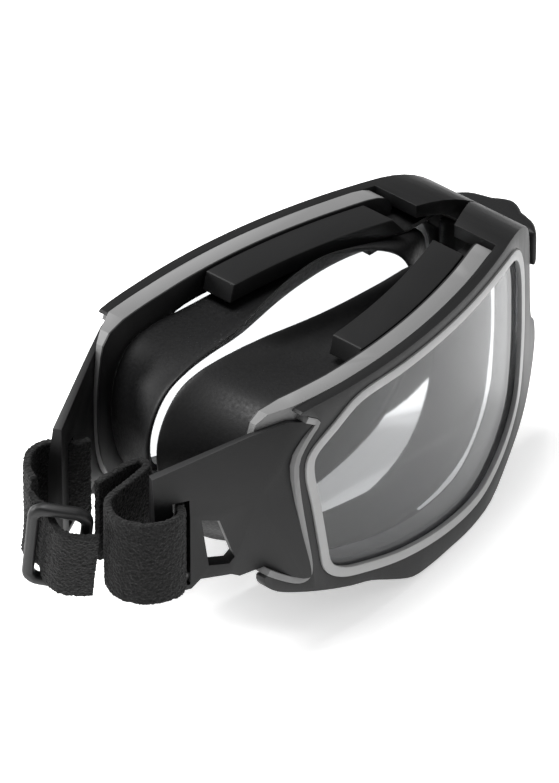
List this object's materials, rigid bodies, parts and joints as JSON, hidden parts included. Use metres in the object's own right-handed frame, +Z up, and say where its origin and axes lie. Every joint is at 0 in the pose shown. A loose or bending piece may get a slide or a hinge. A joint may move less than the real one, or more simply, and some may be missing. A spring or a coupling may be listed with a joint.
{
  "type": "sports protective goggles",
  "caption": "Folding sports protective goggles: two wrapped lens halves on a nose bridge, soft face skirts, side arms and an elastic strap with a ring buckle.",
  "frame": {"origin": "under the middle of the folded goggles' box, on the plane of the lowest edges", "axes": "+Z up, as worn; -Y to the front (the nose end of the folded halves); -X is the wearer's right half"},
  "size_m": [0.057, 0.1392, 0.0588],
  "materials": {
    "black_plastic": "satin moulded",
    "grey_trim": "satin moulded",
    "clear_lens": "clear, hard coated",
    "skirt_rubber": "soft satin",
    "strap_fabric": "looped elastic"
  },
  "bodies": {
    "right_half": {"right_front_shell": "black_plastic", "right_carrier": "grey_trim", "right_lens_seal": "grey_trim", "right_lens": "clear_lens", "right_skirt": "skirt_rubber", "right_vent_cover": "black_plastic", "right_lower_vent": "black_plastic", "right_arm": "black_plastic", "right_bridge": "skirt_rubber"},
    "left_half": {"left_front_shell": "black_plastic", "left_carrier": "grey_trim", "left_lens_seal": "grey_trim", "left_lens": "clear_lens", "left_skirt": "skirt_rubber", "left_vent_cover": "black_plastic", "left_lower_vent": "black_plastic", "left_arm": "black_plastic", "left_bridge": "skirt_rubber"},
    "right_strap_loop": {"right_strap": "strap_fabric"},
    "left_strap_loop": {"left_strap": "strap_fabric", "middle_strap": "strap_fabric"},
    "strap_buckle": {"buckle": "black_plastic"}
  },
  "joints": [
    {"name": "bridge_fold", "type": "hinge", "parent": "right_half", "child": "left_half", "pos_m": [0, -0.06505, 0.043], "axis": [0, 0, -1], "range_deg": [0, 115]},
    {"name": "right_strap_swing", "type": "hinge", "parent": "right_half", "child": "right_strap_loop", "pos_m": [-0.0139, 0.05105, 0.0342], "axis": [0, 0, 1], "range_deg": [0, 8]},
    {"name": "left_strap_swing", "type": "hinge", "parent": "left_half", "child": "left_strap_loop", "pos_m": [0.0139, 0.05105, 0.0342], "axis": [0, 0, -1], "range_deg": [0, 12]},
    {"name": "buckle_swing", "type": "hinge", "parent": "left_strap_loop", "child": "strap_buckle", "pos_m": [0.00686, 0.06641, 0.03322], "axis": [-0.2657, 0.1687, 0.9492], "range_deg": [-6, 6]}
  ]
}
